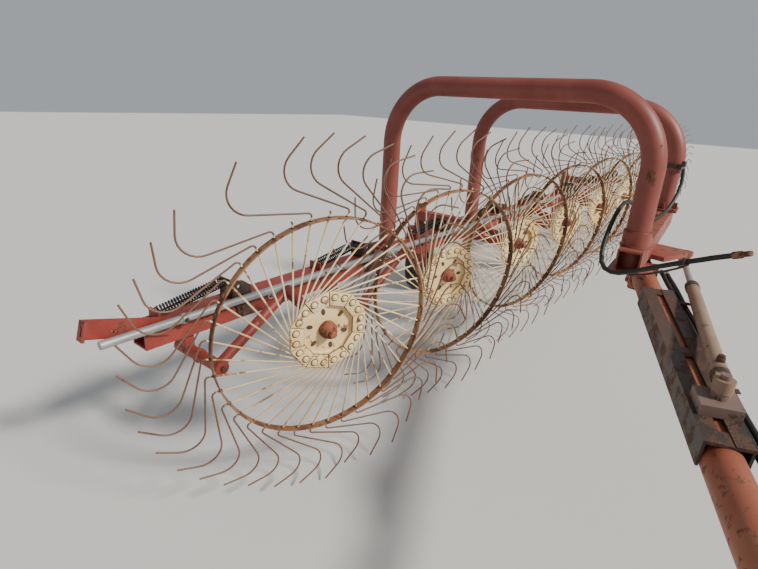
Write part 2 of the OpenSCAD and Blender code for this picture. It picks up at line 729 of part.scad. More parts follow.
module anchor_block() {
  boss_z = rail_top + seat + 10 - anchor_x * sin(tongue_fall); // start of the boss, inside the block
  color("rosybrown") {
    tongue_frame() translate([anchor_x - 45, -50, rail_top + seat]) cube([100, 110, anchor_h]);
    tongue_level() translate([anchor_x, anchor_side, boss_z]) {
      cylinder(r = 26, h = cyl_z - eye_w / 2 - eye_gap - boss_z, $fn = 72);
      cylinder(r = eye_r - run_gap, h = cyl_z + eye_w / 2 + 14 - boss_z, $fn = 72);
    }
  }
}

module hitch() {
  color("dimgray") {
    tongue_frame() translate([tongue_len - 100 + seat, 0, 0]) rotate([0, 90, 0])
      cylinder(d = tongue_d + 20, h = 16, $fn = 96);
    tongue_level() translate([hitch_u, 0, hitch_z]) for (z = [-42, 22]) translate([0, 0, z]) difference() {
      union() {
        translate([-92, -hitch_end, 0]) cube([92, 2 * hitch_end, 20]);
        cylinder(r = hitch_end, h = 20, $fn = 96);
      }
      translate([0, 0, -1]) cylinder(r = hitch_pin_r, h = 22, $fn = 72);
    }
  }
}

module jack_body() {
  reach = jack_side - tongue_d / 2 - seat; // from the jack's middle to the tongue's side
  color("dimgray") tongue_level() translate([jack_x, jack_side, jack_z]) difference() {
    union() {
      translate([0, 0, -jack_low]) cylinder(d = jack_tube_d, h = jack_tube_h, $fn = 72);
      translate([-30, -reach, -30]) cube([60, reach, 60]);
    }
    translate([0, 0, -jack_low - 1]) cylinder(d = jack_leg_d + 2 * run_gap, h = jack_tube_h - 20, $fn = 72);
  }
}

module jack_leg() {
  color("silver") tongue_level() translate([jack_x, jack_side, -pivot[2]]) {
    cylinder(d = foot_d, h = 10, $fn = 72);
    translate([0, 0, 9]) cylinder(d = jack_leg_d, h = pivot[2] + jack_z - 120, $fn = 72);
  }
}

module barrel() {
  color("tan") cylinder_frame() translate([cyl_span, 0, 0]) difference() {
    union() {
      cylinder(r = eye_r + 14, h = eye_w, center = true, $fn = 72);
      translate([-20 - barrel_len, 0, 0]) rotate([0, 90, 0])
        cylinder(d = barrel_d, h = barrel_len - 14, $fn = 72);
      translate([-40, -eye_w / 2, -eye_w / 2]) cube([30, eye_w, eye_w]);
    }
    translate([-60 - barrel_len, 0, 0]) rotate([0, 90, 0])
      cylinder(d = rod_d + 2 * run_gap, h = barrel_len - 20, $fn = 72);
    cylinder(r = eye_r, h = eye_w + 10, center = true, $fn = 72);
  }
}

// The rod's eye carries the headed pin that ends under the lever's boss
module rod() {
  color("silver") cylinder_frame() {
    difference() {
      union() {
        cylinder(r = eye_r + 14, h = eye_w, center = true, $fn = 72);
        rotate([0, 90, 0]) cylinder(d = rod_d, h = rod_len, $fn = 72);
      }
      cylinder(r = eye_r, h = eye_w + 20, center = true, $fn = 72);
    }
    translate([0, 0, -eye_w / 2 - 8]) cylinder(r = 24, h = 10, $fn = 72);
    translate([0, 0, -eye_w / 2 - 1]) cylinder(r = eye_r - run_gap, h = eye_w + 2, $fn = 72);
  }
}

// Hose along points, as a tube of ten sides with one ring at each point
module hose(route, d, sides = 10) {
  n = len(route);
  ways = [for (i = [0:n - 1]) route[min(i + 1, n - 1)] - route[max(i - 1, 0)]];
  rings = [for (i = [0:n - 1]) let (w = ways[i] / norm(ways[i]), across = cross(w, [0.31, -0.22, 0.92]),
    u = across / norm(across), v = cross(w, u))
    for (j = [0:sides - 1]) route[i] + d / 2 * (cos(j * 360 / sides) * u + sin(j * 360 / sides) * v)];
  polyhedron(rings, concat([[for (j = [0:sides - 1]) j]],
    [for (i = [0:n - 2]) for (j = [0:sides - 1]) let (a = i * sides, b = (j + 1) % sides)
      [a + j, a + sides + j, a + sides + b, a + b]],
    [[for (j = [sides - 1:-1:0]) (n - 1) * sides + j]]), convexity = 6);
}

module hose_run() {
  color("black") tongue_frame() for (side = [0, 1]) {
    y = run_y + side * (hose_d + 3);
    hose([for (x = [run_start:run_step:run_end]) [x, y, run_z + 2 * sin(x + side * 90)]], hose_d);
  }
}

module hose_loose() {
  color("black") wing() hose(loose_points, hose_d);
}

module hose_coupler() {
  n = len(loose_points);
  tip = loose_points[n - 1];
  way = tip - loose_points[n - 2];
  color("dimgray") wing() {
    strut(tip + seat * way / norm(way), tip + 30 * way / norm(way), 27);
    strut(tip + 28 * way / norm(way), tip + 62 * way / norm(way), 20);
  }
}

module caster_arms() {
  color("firebrick") for (x = [caster_1_x, caster_2_x]) wing() translate([x, beam_y, beam_z]) difference() {
    union() {
      translate([-40, beam_w / 2 + seat, -40]) cube([80, caster_y - beam_w / 2, 80]);
      translate([0, caster_y, -70]) cylinder(d = 84, h = 140, $fn = 72);
    }
    translate([0, caster_y, -80]) cylinder(r = stem_r + run_gap, h = 160, $fn = 72);
  }
}

// A caster's frame, under its stem, with +X where it trails
module caster_frame(x) {
  wing() translate([x, beam_y + caster_y, 0]) rotate([0, 0, tongue_turn]) children();
}

module caster_fork(x) {
  side_t = 10; // thickness of the fork's two sides
  color("firebrick") caster_frame(x) {
    translate([0, 0, crown_z]) cylinder(r = stem_r, h = 210, $fn = 72);
    translate([0, 0, crown_z]) cylinder(r = 45, h = beam_z - 70 - crown_z, $fn = 72);
    translate([-40, -hub_half - side_t, crown_z - 20]) cube([90, 2 * (hub_half + side_t), 20.5]);
    for (s = [-1, 1]) translate([0, s > 0 ? hub_half + side_t : -hub_half, 0])
      rotate([90, 0, 0]) linear_extrude(side_t)
        polygon([[-40, crown_z - 10], [50, crown_z - 10],
          [trail + 30, wheel_r - 25], [trail - 30, wheel_r - 25]]);
    translate([trail, -hub_half - side_t, wheel_r]) rotate([-90, 0, 0])
      cylinder(r = axle_r, h = 2 * (hub_half + side_t), $fn = 48);
  }
}

module caster_wheel(x) {
  color("dimgray") caster_frame(x) translate([trail, 0, wheel_r]) rotate([90, 0, 0]) difference() {
    union() {
      cylinder(d = tyre_d, h = tyre_w - 30, center = true, $fn = 120);
      cylinder(d = tyre_d - 2 * tread_round, h = tyre_w, center = true, $fn = 120);
    }
    cylinder(r = axle_r + run_gap, h = tyre_w + 2, center = true, $fn = 48);
  }
}

tongue_tube();
tongue_rails();
hitch();
pivot_pin();
jack_body();
jack_leg();
barrel();
rod();
anchor_block();
hose_run();
inner_beam();
arch_near();
arch_far();
rake_beam();
end_bar();
crank_arms();
float_springs();
spring_brackets();
lift_pipe();
lift_chains();
hose_loose();
hose_coupler();
caster_arms();
caster_fork(caster_1_x);  // caster_fork_1
caster_fork(caster_2_x);  // caster_fork_2
caster_wheel(caster_1_x);  // caster_wheel_1
caster_wheel(caster_2_x);  // caster_wheel_2
for (k = [1:wheels]) {
  reel(k);
  hub(k);
}
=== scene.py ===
import bpy
import json
import math
import random
from mathutils import Matrix, Vector


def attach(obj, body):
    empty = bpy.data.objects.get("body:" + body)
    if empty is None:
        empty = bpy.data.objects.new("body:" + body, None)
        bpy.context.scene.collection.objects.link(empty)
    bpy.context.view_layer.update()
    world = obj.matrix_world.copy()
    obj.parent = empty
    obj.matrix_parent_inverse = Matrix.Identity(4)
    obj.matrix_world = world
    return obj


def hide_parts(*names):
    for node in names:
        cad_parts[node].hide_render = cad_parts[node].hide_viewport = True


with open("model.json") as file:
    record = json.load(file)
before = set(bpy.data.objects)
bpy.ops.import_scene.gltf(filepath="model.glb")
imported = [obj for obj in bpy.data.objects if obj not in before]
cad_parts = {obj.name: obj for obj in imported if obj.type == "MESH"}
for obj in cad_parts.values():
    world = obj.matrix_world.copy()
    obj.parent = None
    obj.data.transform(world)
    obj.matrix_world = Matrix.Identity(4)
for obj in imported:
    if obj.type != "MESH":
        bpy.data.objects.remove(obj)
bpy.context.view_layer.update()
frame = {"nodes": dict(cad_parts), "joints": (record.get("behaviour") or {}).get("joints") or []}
nodes = frame["nodes"]
joints = {j["name"]: j for j in frame["joints"]}

# Sizes in metres: the row of finger wheels, the tongue's turn and fall, and the beam
WHEELS = 8
PITCH = 0.903
WHEEL_TURN = math.radians(19)
WHEEL_LEAN = math.radians(3.5)
HUB_H = 0.765
TONGUE_TURN = math.radians(21)
TONGUE_FALL = math.radians(4)
BEAM_Y = 0.600
BEAM_TOP = HUB_H - 0.024
# The lift pipe's place, the height of the crank arms' pivots, the float springs' length and fall, the jack's
# place along the tongue, and the radii of a hose and of the arches' weld beads
PIPE_Y = 0.516
PIPE_H = BEAM_TOP + 0.004
CRANK_H = HUB_H - 0.205
SPRING_LONG = 0.330
SPRING_FALL = 0.052
JACK_X = 2.88
HOSE_R = 0.010
WELD_R = 0.0040
# Fingers: how many, the ring, the circle that the spokes touch and the turn that this gives them, the wire, the
# parts outside the ring, and how far inside it the paint ends
FINGERS = 40
RING_R = 0.453
ROOT_R = 0.145
SPOKE_TURN = -math.asin(ROOT_R / RING_R)
WIRE_R = 0.0035
PAST_RING = 0.014
ELBOW_R = 0.014
RUN = 0.210
CURVE_R = 0.072
TIP = 0.078
PAINT_ENDS = 0.004
# How far a finger leaves the wheel's plane, per metre outside the ring: each a little, a few a lot
FINGER_TILT = 0.048
FINGER_BEND = 0.15
# Hubs: the clamp plates' count, outer corners, inner edge and gap, their backing, then dish and bearing
PLATES = 10
PLATE_R = 0.168
PLATE_IN = 0.106
PLATE_GAP = 0.0022
BACKING_R = 0.166
DISH_R = 0.1085
DISH_FLOOR = -0.0105
HUB_BACK = -0.0165
BEARING_R = 0.0305
# Turns that lay a rod along X or Y
ON_X = (0, math.pi / 2, 0)
ON_Y = (math.pi / 2, 0, 0)
# How far each finger wheel has turned where it stands in the photograph, and the fingers that it lacks
STANDING_TURN = {1: math.radians(-16)}
MISSING = {1: {12, 14}, 3: {27}}
# Middle line of the loose hose in the wing's frame, from the clamp to the coupler
LOOSE_HOSE = [
    (2.150, -0.775, 1.330), (2.143, -0.784, 1.285), (2.125, -0.790, 1.235), (2.092, -0.788, 1.182),
    (2.048, -0.781, 1.135), (1.995, -0.770, 1.098), (1.930, -0.761, 1.078), (1.860, -0.755, 1.072),
    (1.785, -0.752, 1.073), (1.710, -0.749, 1.078), (1.640, -0.744, 1.089), (1.570, -0.738, 1.106),
    (1.500, -0.731, 1.130), (1.435, -0.724, 1.158), (1.375, -0.717, 1.188), (1.320, -0.711, 1.212),
    (1.265, -0.705, 1.225), (1.213, -0.700, 1.224), (1.165, -0.696, 1.207), (1.123, -0.692, 1.177),
    (1.088, -0.690, 1.140), (1.058, -0.689, 1.100), (1.033, -0.690, 1.060), (1.010, -0.695, 1.023),
    (0.988, -0.707, 0.992), (0.969, -0.729, 0.972), (0.956, -0.760, 0.966), (0.945, -0.794, 0.972),
    (0.933, -0.830, 0.988), (0.919, -0.867, 1.008), (0.903, -0.905, 1.030), (0.887, -0.945, 1.053),
    (0.870, -0.987, 1.076), (0.852, -1.030, 1.099), (0.834, -1.073, 1.121), (0.816, -1.112, 1.142),
    (0.799, -1.143, 1.158), (0.783, -1.168, 1.171),
]

# Feet of the two arches' inner legs, the clamp's height on the far one, the bent rod that holds the loose
# hose's end, and the point of the hose that the rod's loop goes round
NEAR_FOOT = Vector((1.11635, -0.79952, 0))
FAR_FOOT = Vector((2.20945, -0.71955, 0))
CLAMP_H = 1.326
HOSE_HOLDER = [(1.034, -0.800, 0.956), (1.006, -0.815, 0.956), (0.975, -0.850, 0.968), (0.925, -0.930, 1.010),
               (0.862, -1.018, 1.070), (0.854, -1.027, 1.081)]
LOOP_AT = 33
# Outlines of the carrying wheels, as (radius, height) along the axle
RIM = [(0.195, 0.060), (0.200, 0.066), (0.197, 0.070), (0.190, 0.068), (0.183, 0.058), (0.180, 0.045),
       (0.165, 0.038), (0.160, 0.020), (0.120, 0.012), (0.085, 0.026), (0.060, 0.026), (0.060, 0.018),
       (0.085, 0.018), (0.120, 0.004), (0.150, 0.010), (0.160, -0.038), (0.180, -0.045), (0.183, -0.058),
       (0.190, -0.068), (0.197, -0.070), (0.200, -0.066), (0.195, -0.060)]
WHEEL_HUB = [(0.0122, 0.074), (0.030, 0.074), (0.034, 0.070), (0.034, 0.040), (0.038, 0.034), (0.064, 0.030),
             (0.064, 0.014), (0.040, 0.008), (0.036, 0.002), (0.036, -0.066), (0.032, -0.074), (0.0122, -0.074)]

# Frames: the wing's at the foot of wheel 1, the tongue's level and fallen ones at its pivot
FOOT = Vector(joints["reel_turn_1"]["pos_m"]) - Vector((0, 0, HUB_H))
PIVOT = Vector(joints["wing_turn"]["pos_m"])
ANCHOR = Vector(joints["barrel_swing"]["pos_m"])
WING = Matrix.Translation(FOOT)
LEVEL = Matrix.Translation(PIVOT) @ Matrix.Rotation(math.pi + TONGUE_TURN, 4, "Z")
TONGUE = LEVEL @ Matrix.Rotation(TONGUE_FALL, 4, "Y")


def toward(axis):
    """The turn that takes +Z to that axis."""
    return Vector((0, 0, 1)).rotation_difference(Vector(axis)).to_matrix().to_4x4()


def up(height):
    return Vector((0, 0, height))


def wheel_place(k):
    """The frame of finger wheel k as it stands: XY is its plane, +Z its axis toward the front."""
    return (WING @ Matrix.Translation(((k - 1) * PITCH, 0, HUB_H)) @ Matrix.Rotation(-WHEEL_TURN, 4, "Z")
            @ Matrix.Rotation(math.pi / 2 + WHEEL_LEAN, 4, "X")
            @ Matrix.Rotation(STANDING_TURN.get(k, 0), 4, "Z"))


# ---- Hose, camera, floor and light
def loose_hose():
    """The loose hose, along the same points as its solid."""
    curve = bpy.data.curves.new("loose hose", "CURVE")
    curve.dimensions = "3D"
    line = curve.splines.new("POLY")
    line.points.add(len(LOOSE_HOSE) - 1)
    for point, at in zip(line.points, LOOSE_HOSE):
        point.co = (*(FOOT + Vector(at)), 1)
        point.radius = HOSE_R
    # The depth is multiplied by each point's radius, and the curve's own box grows by that radius alone
    curve.bevel_depth = 1.0
    curve.bevel_resolution = 5
    curve.use_fill_caps = True
    hose = bpy.data.objects.new("loose_hose", curve)
    bpy.context.scene.collection.objects.link(hose)
    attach(hose, "wing")
    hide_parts("hose_loose")
    return hose


def camera_and_light():
    lens = bpy.data.cameras.new("photo camera")
    lens.sensor_width = 36
    lens.lens = 23.8
    lens.clip_end = 60
    camera = bpy.data.objects.new("photo camera", lens)
    bpy.context.scene.collection.objects.link(camera)
    camera.location = FOOT + up(HUB_H) + Vector((-1.286, -1.218, 0.858))
    camera.rotation_euler = (math.radians(69.45), math.radians(-2.83), math.radians(-51.61))
    bpy.context.scene.camera = camera

    bpy.ops.mesh.primitive_plane_add(size=60, location=(0, 0, 0))
    floor = bpy.context.object
    floor.name = "floor"
    pale = bpy.data.materials.new("pale floor")
    pale.use_nodes = True
    shader = pale.node_tree.nodes["Principled BSDF"]
    shader.inputs["Base Color"].default_value = (0.62, 0.61, 0.59, 1)
    shader.inputs["Roughness"].default_value = 0.9
    floor.data.materials.append(pale)

    sun = bpy.data.lights.new("window light", "SUN")
    sun.energy = 4.6
    sun.angle = math.radians(8)
    sun.color = (1.0, 0.965, 0.90)
    lamp = bpy.data.objects.new("window light", sun)
    bpy.context.scene.collection.objects.link(lamp)
    lamp.rotation_euler = (math.radians(52), 0, math.radians(8))
    world = bpy.data.worlds.new("studio")
    world.use_nodes = True
    world.node_tree.nodes["Background"].inputs["Color"].default_value = (0.82, 0.87, 0.93, 1)
    world.node_tree.nodes["Background"].inputs["Strength"].default_value = 0.46
    bpy.context.scene.world = world


# ---- Materials
RUST, DARK_RUST, CHIP = (0.17, 0.062, 0.026), (0.055, 0.023, 0.014), (0.045, 0.022, 0.016)
# Width of the edge between paint and rust, their two roughnesses, and the depth of the rust's grit in metres
RUST_EDGE = 0.055
ROUGHNESS = (0.5, 0.88)
BUMP_DEPTH = 0.002
# Of each finish: its name, paint, faded paint, rust, dark rust, where the rust starts (the lower the more of
# it), the scale of its patches, and where they differ from the usual, the bump's strength and metallic value
FINISHES = {
    "red": ("faded red paint", (0.215, 0.022, 0.016), (0.33, 0.060, 0.042), RUST, DARK_RUST, 0.93, 17),
    "arch": ("sun faded red paint", (0.195, 0.040, 0.030), (0.285, 0.078, 0.058), RUST, CHIP, 0.985, 13, 0.25),
    "frame": ("brick red paint", (0.215, 0.044, 0.029), (0.31, 0.092, 0.060), RUST, DARK_RUST, 0.93, 18),
    "tongue": ("rusty tongue paint", (0.27, 0.070, 0.034), (0.345, 0.120, 0.066), (0.19, 0.072, 0.036),
               (0.12, 0.045, 0.026), 0.91, 34),
    "cream": ("cream paint", (0.72, 0.50, 0.205), (0.86, 0.71, 0.43), (0.34, 0.16, 0.060),
              (0.17, 0.075, 0.035), 0.93, 26),
    # The joint finish: dark rust that is also painted shade, under the hub's bolt domes, on its backing ring
    # and on the discs that stand for its holes.
    "joint": ("rust and painted shade in the joints", (0.050, 0.024, 0.014), (0.095, 0.046, 0.024), RUST, DARK_RUST, 0.80, 30),
    "coupler": ("rusty coupler", (0.17, 0.080, 0.045), (0.26, 0.14, 0.085), RUST, DARK_RUST, 0.74, 30, 0.6),
    "weld": ("painted weld", (0.16, 0.034, 0.025), (0.24, 0.07, 0.05), RUST, DARK_RUST, 0.80, 40, 0.7),
    "wire": ("rusty finger wire", (0.105, 0.050, 0.034), (0.215, 0.110, 0.060), RUST, DARK_RUST, 0.92, 9, 0.4),
    "spoke": ("painted finger wire", (0.52, 0.34, 0.15), (0.82, 0.68, 0.44), (0.28, 0.13, 0.055),
              (0.15, 0.065, 0.030), 0.91, 9, 0.4),
    "band": ("rusty ring band", (0.13, 0.052, 0.025), (0.43, 0.215, 0.085), RUST, DARK_RUST, 0.84, 12, 0.5),
    "steel": ("dark rusty steel", (0.038, 0.026, 0.021), (0.075, 0.048, 0.036), (0.115, 0.048, 0.026),
              (0.045, 0.023, 0.016), 0.84, 20, 0.5),
    "galvanised": ("galvanised steel", (0.30, 0.305, 0.31), (0.46, 0.465, 0.465), RUST, DARK_RUST, 1.04, 16,
                   0.2, 0.55),
    "tan": ("weathered barrel", (0.245, 0.150, 0.095), (0.315, 0.215, 0.145), (0.17, 0.095, 0.060),
            (0.10, 0.055, 0.035), 0.93, 20, 0.4),
    "dusty": ("dusty steel", (0.175, 0.115, 0.095), (0.245, 0.170, 0.145), (0.125, 0.065, 0.045),
              (0.06, 0.033, 0.024), 0.96, 18, 0.4),
    "cap": ("rusty red cap", (0.24, 0.056, 0.030), (0.34, 0.115, 0.062), RUST, DARK_RUST, 0.84, 30, 0.5),
    "spring": ("black spring steel", (0.010, 0.010, 0.010), (0.026, 0.023, 0.021), RUST, DARK_RUST, 1.02, 24,
               0.2, 0.3),
    "bright": ("bright rod", (0.50, 0.49, 0.47), (0.60, 0.59, 0.57), RUST, DARK_RUST, 1.08, 30, 0.1, 0.9),
    "rubber": ("black rubber", (0.008, 0.008, 0.008), (0.017, 0.016, 0.015), (0.07, 0.062, 0.050),
               (0.04, 0.036, 0.031), 1.06, 12, 0.2),
    "tyre": ("dusty tyre", (0.014, 0.014, 0.014), (0.030, 0.029, 0.027), (0.10, 0.085, 0.068),
             (0.05, 0.044, 0.038), 0.92, 8, 0.3),
}


def feed(tree, socket, value):
    """Gives a socket that number, or links it to that output."""
    if hasattr(value, "is_linked"):
        tree.links.new(value, socket)
    else:
        socket.default_value = value


def calculate(tree, operation, *values):
    """A maths node on those values, each a number or an output."""
    node = tree.nodes.new("ShaderNodeMath")
    node.operation = operation
    for socket, value in zip(node.inputs, values):
        feed(tree, socket, value)
    return node.outputs[0]


def grid_noise(tree, coord, scale, detail, stretch=(1, 1, 1)):
    """Noise over the object's own coordinates."""
    mapping = tree.nodes.new("ShaderNodeMapping")
    mapping.inputs["Scale"].default_value = stretch
    noise = tree.nodes.new("ShaderNodeTexNoise")
    feed(tree, noise.inputs["Scale"], scale)
    noise.inputs["Detail"].default_value = detail
    noise.inputs["Roughness"].default_value = 0.62
    tree.links.new(coord, mapping.inputs["Vector"])
    tree.links.new(mapping.outputs["Vector"], noise.inputs["Vector"])
    return noise.outputs["Fac"]


def ramp_between(tree, value, low, high, to_low=0.0, to_high=1.0):
    """Takes the range from low to high to the other range."""
    remap = tree.nodes.new("ShaderNodeMapRange")
    tree.links.new(value, remap.inputs["Value"])
    for socket, what in (("From Min", low), ("From Max", high), ("To Min", to_low), ("To Max", to_high)):
        feed(tree, remap.inputs[socket], what)
    return remap.outputs["Result"]


def mix_colour(tree, factor, a, b):
    mix = tree.nodes.new("ShaderNodeMix")
    mix.data_type = "RGBA"
    tree.links.new(factor, mix.inputs[0])
    tree.links.new(a, mix.inputs[6])
    tree.links.new(b, mix.inputs[7])
    return mix.outputs[2]


def weathering_group():
    """Paint that fades in patches and gives way to two tones of rust."""
    tree = bpy.data.node_groups.new("weathered paint", "ShaderNodeTree")
    for name in ("Paint", "Faded", "Rust", "Dark rust"):
        tree.interface.new_socket(name=name, in_out="INPUT", socket_type="NodeSocketColor")
    for name in ("Rust start", "Patch scale"):
        tree.interface.new_socket(name=name, in_out="INPUT", socket_type="NodeSocketFloat")
    tree.interface.new_socket(name="Color", in_out="OUTPUT", socket_type="NodeSocketColor")
    for name in ("Roughness", "Height"):
        tree.interface.new_socket(name=name, in_out="OUTPUT", socket_type="NodeSocketFloat")
    given = tree.nodes.new("NodeGroupInput").outputs
    results = tree.nodes.new("NodeGroupOutput").inputs
    coord = tree.nodes.new("ShaderNodeTexCoord").outputs["Object"]
    patches = grid_noise(tree, coord, given["Patch scale"], 9)
    runs = grid_noise(tree, coord, 26, 6, (1, 1, 0.16))
    specks = grid_noise(tree, coord, 160, 4)
    fading = grid_noise(tree, coord, 2.3, 5)
    worn = calculate(tree, "MULTIPLY_ADD", runs, 0.45, patches)
    worn = calculate(tree, "MULTIPLY_ADD", specks, 0.22, worn)
    start = given["Rust start"]
    mask = ramp_between(tree, worn, start, calculate(tree, "ADD", start, RUST_EDGE))
    paint = mix_colour(tree, ramp_between(tree, fading, 0.36, 0.66), given["Paint"], given["Faded"])
    rust = mix_colour(tree, ramp_between(tree, specks, 0.35, 0.62), given["Dark rust"], given["Rust"])
    tree.links.new(mix_colour(tree, mask, paint, rust), results["Color"])
    tree.links.new(ramp_between(tree, mask, 0.0, 1.0, *ROUGHNESS), results["Roughness"])
    tree.links.new(calculate(tree, "MULTIPLY", specks, mask), results["Height"])
    return tree


def weathered(group, name, paint, faded, rust, dark, start, scale, bump=0.35, metallic=0.0):
    """One finish: the weathering group with its own colours."""
    material = bpy.data.materials.new(name)
    material.use_nodes = True
    tree = material.node_tree
    shader = tree.nodes["Principled BSDF"]
    use = tree.nodes.new("ShaderNodeGroup")
    use.node_tree = group
    for socket, colour in (("Paint", paint), ("Faded", faded), ("Rust", rust), ("Dark rust", dark)):
        use.inputs[socket].default_value = (*colour, 1)
    use.inputs["Rust start"].default_value = start
    use.inputs["Patch scale"].default_value = scale
    tree.links.new(use.outputs["Color"], shader.inputs["Base Color"])
    tree.links.new(use.outputs["Roughness"], shader.inputs["Roughness"])
    shader.inputs["Metallic"].default_value = metallic
    lift = tree.nodes.new("ShaderNodeBump")
    lift.inputs["Strength"].default_value = bump
    lift.inputs["Distance"].default_value = BUMP_DEPTH
    tree.links.new(use.outputs["Height"], lift.inputs["Height"])
    tree.links.new(lift.outputs["Normal"], shader.inputs["Normal"])
    return material


def make_materials():
    group = weathering_group()
    return {key: weathered(group, *values) for key, values in FINISHES.items()}


# ---- Modelling helpers
def ring_section(inner, outer, low, high):
    """The closed outline of a flat ring, for turned()."""
    return [(inner, low), (outer, low), (outer, high), (inner, high), (inner, low)]


def deselect():
    bpy.ops.object.select_all(action="DESELECT")


def only(obj):
    deselect()
    obj.select_set(True)
    bpy.context.view_layer.objects.active = obj


def settle(obj, place=None, angle=40):
    """Bakes the place into the mesh, so that the object stays at the origin, and smooths by angle."""
    if place is not None:
        obj.matrix_world = place @ obj.matrix_world
    only(obj)
    bpy.ops.object.transform_apply(location=True, rotation=True, scale=True)
    bpy.ops.object.shade_smooth_by_angle(angle=math.radians(angle))
    return obj


def apply_modifier(obj, kind, **values):
    only(obj)
    modifier = obj.modifiers.new(kind.lower(), kind)
    for key, value in values.items():
        setattr(modifier, key, value)
    bpy.ops.object.modifier_apply(modifier=modifier.name)


def join(parts, name):
    deselect()
    for part in parts:
        part.select_set(True)
    bpy.context.view_layer.objects.active = parts[0]
    if len(parts) > 1:
        bpy.ops.object.join()
    parts[0].name = name
    return parts[0]


def copy_of(obj, place=Matrix.Identity(4)):
    twin = obj.copy()
    twin.data = obj.data.copy()
    bpy.context.scene.collection.objects.link(twin)
    twin.matrix_world = place @ obj.matrix_world
    return twin


def bar(size, at=(0, 0, 0), bevel=0.002, material=None):
    bpy.ops.mesh.primitive_cube_add(size=1, location=at)
    obj = bpy.context.object
    obj.scale = size
    only(obj)
    bpy.ops.object.transform_apply(location=False, rotation=False, scale=True)
    if bevel:
        apply_modifier(obj, "BEVEL", width=bevel, segments=2, limit_method="ANGLE")
    if material:
        obj.data.materials.append(material)
    return obj


def rod(radius, length, at=(0, 0, 0), turn=(0, 0, 0), sides=24, bevel=0.0015, material=None):
    bpy.ops.mesh.primitive_cylinder_add(vertices=sides, radius=radius, depth=length, location=at, rotation=turn)
    obj = bpy.context.object
    if bevel:
        apply_modifier(obj, "BEVEL", width=bevel, segments=2, limit_method="ANGLE")
    if material:
        obj.data.materials.append(material)
    return obj


def bolt(at, axis=(0, 0, 1), width=0.019, height=0.009, material=None):
    """A hexagon head on a washer, standing on the face at that point."""
    head = rod(width / math.sqrt(3), height, (0, 0, height / 2 + 0.002), sides=6, bevel=0.0008)
    washer = rod(width * 0.78, 0.0022, (0, 0, 0.0011), sides=20, bevel=0.0004)
    stud = rod(width * 0.28, 0.006, (0, 0, height + 0.003), sides=12, bevel=0.0006)
    both = join([head, washer, stud], "bolt")
    both.matrix_world = Matrix.Translation(at) @ toward(axis) @ both.matrix_world
    if material:
        both.data.materials.append(material)
    return both


def turned(profile, steps=48, material=None, name="turned"):
    """Spins a profile of (radius, height) points round Z."""
    mesh = bpy.data.meshes.new(name)
    mesh.from_pydata([(r, 0, z) for r, z in profile], [(i, i + 1) for i in range(len(profile) - 1)], [])
    obj = bpy.data.objects.new(name, mesh)
    bpy.context.scene.collection.objects.link(obj)
    only(obj)
    bpy.ops.object.mode_set(mode="EDIT")
    bpy.ops.mesh.select_all(action="SELECT")
    bpy.ops.mesh.spin(steps=steps, angle=math.tau, center=(0, 0, 0), axis=(0, 0, 1))
    bpy.ops.mesh.select_all(action="SELECT")
    bpy.ops.mesh.remove_doubles(threshold=1e-5)
    bpy.ops.mesh.normals_make_consistent(inside=False)
    bpy.ops.object.mode_set(mode="OBJECT")
    if material:
        obj.data.materials.append(material)
    return obj


def wire(points, radius, sides=2, material=None, name="wire", smooth=False):
    """A round wire along those points, as a mesh."""
    curve = bpy.data.curves.new(name, "CURVE")
    curve.dimensions = "3D"
    spline = curve.splines.new("NURBS" if smooth else "POLY")
    spline.points.add(len(points) - 1)
    for p, q in zip(spline.points, points):
        p.co = (*q, 1)
    if smooth:
        spline.order_u = 4
        spline.use_endpoint_u = True
        spline.resolution_u = 3
    curve.bevel_depth = radius
    curve.bevel_resolution = sides
    curve.use_fill_caps = True
    obj = bpy.data.objects.new(name, curve)
    bpy.context.scene.collection.objects.link(obj)
    only(obj)
    bpy.ops.object.convert(target="MESH")
    obj = bpy.context.object
    if material:
        obj.data.materials.append(material)
    return obj


# ---- Finger wheels
def finger_route(short=False):
    """The finger's middle line in the wheel's plane: spoke, elbow, run, curve and tip."""
    turn = SPOKE_TURN
    reach = math.sqrt(RING_R ** 2 - ROOT_R ** 2)
    at = Vector((RING_R, 0)) - reach * Vector((math.cos(turn), math.sin(turn)))
    points = [at.copy()]

    def ahead(length, parts=1):
        nonlocal at
        for _ in range(parts):
            at = at + length / parts * Vector((math.cos(turn), math.sin(turn)))
            points.append(at.copy())

    def curve(radius, angle, parts):
        nonlocal at, turn
        step = math.radians(angle) / parts
        for _ in range(parts):
            turn += step / 2
            at = at + 2 * radius * math.sin(abs(step) / 2) * Vector((math.cos(turn), math.sin(turn)))
            points.append(at.copy())
            turn += step / 2

    ahead(reach + PAST_RING, 3)
    if short:
        curve(ELBOW_R, 45, 2)
        return points
    curve(ELBOW_R, 95, 4)
    ahead(RUN, 2)
    curve(CURVE_R, -109, 8)
    ahead(TIP)
    return points


